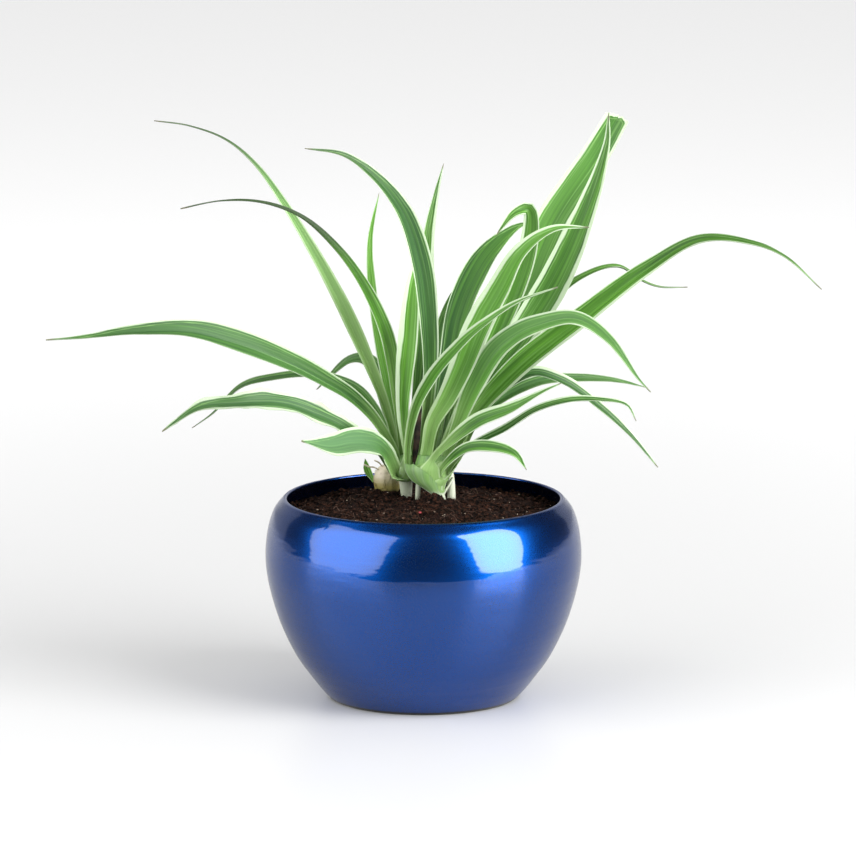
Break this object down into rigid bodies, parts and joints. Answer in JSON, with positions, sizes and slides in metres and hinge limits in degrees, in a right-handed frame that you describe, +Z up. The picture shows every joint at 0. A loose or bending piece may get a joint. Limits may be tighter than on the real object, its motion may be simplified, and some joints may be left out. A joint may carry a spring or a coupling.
{
  "type": "potted spider plant",
  "caption": "Spider plant with arching, white-edged leaves, growing in soil in a round lacquered metal bowl pot.",
  "frame": {"origin": "centre of the pot's flat underside", "axes": "+Z up, +X to the right of the plant's front, +Y to its back"},
  "size_m": [0.3385, 0.162, 0.254],
  "materials": {
    "lacquer": "deep blue metallic lacquer, high gloss",
    "coco_peat": "dark crumbly coco peat, matte",
    "pale_stalk": "pale fresh stalk, satin",
    "dried_bulb": "old tuberous base with dried skin, satin",
    "leaf": "fresh green leaf with white margins, satin"
  },
  "bodies": {
    "root": {"pot": "lacquer", "soil": "coco_peat", "crown_left": "pale_stalk", "crown_right": "pale_stalk", "old_bulb": "dried_bulb", "leaf_left_high_arch": "leaf", "leaf_left_mid_arch": "leaf", "leaf_back_short": "leaf", "leaf_upper_left_arch": "leaf", "leaf_left_bright": "leaf", "leaf_centre_back": "leaf", "leaf_centre_grey": "leaf", "leaf_dark_upper": "leaf", "leaf_kinked": "leaf", "leaf_front_mid_arch": "leaf", "leaf_upper_right_back": "leaf", "leaf_upper_right_front": "leaf", "leaf_right_long_arch": "leaf", "leaf_front_diagonal": "leaf", "leaf_front_right_arch": "leaf", "leaf_back_right_thin": "leaf", "leaf_right_drooping": "leaf", "leaf_back_right_grey": "leaf", "leaf_right_mid_low": "leaf", "leaf_right_low_long": "leaf", "leaf_right_small_low": "leaf", "leaf_left_long": "leaf", "leaf_left_low": "leaf", "leaf_left_front_broad": "leaf", "leaf_back_left_dark": "leaf", "leaf_back_left_short": "leaf", "leaf_bulb_sprout": "leaf"}
  },
  "joints": []
}
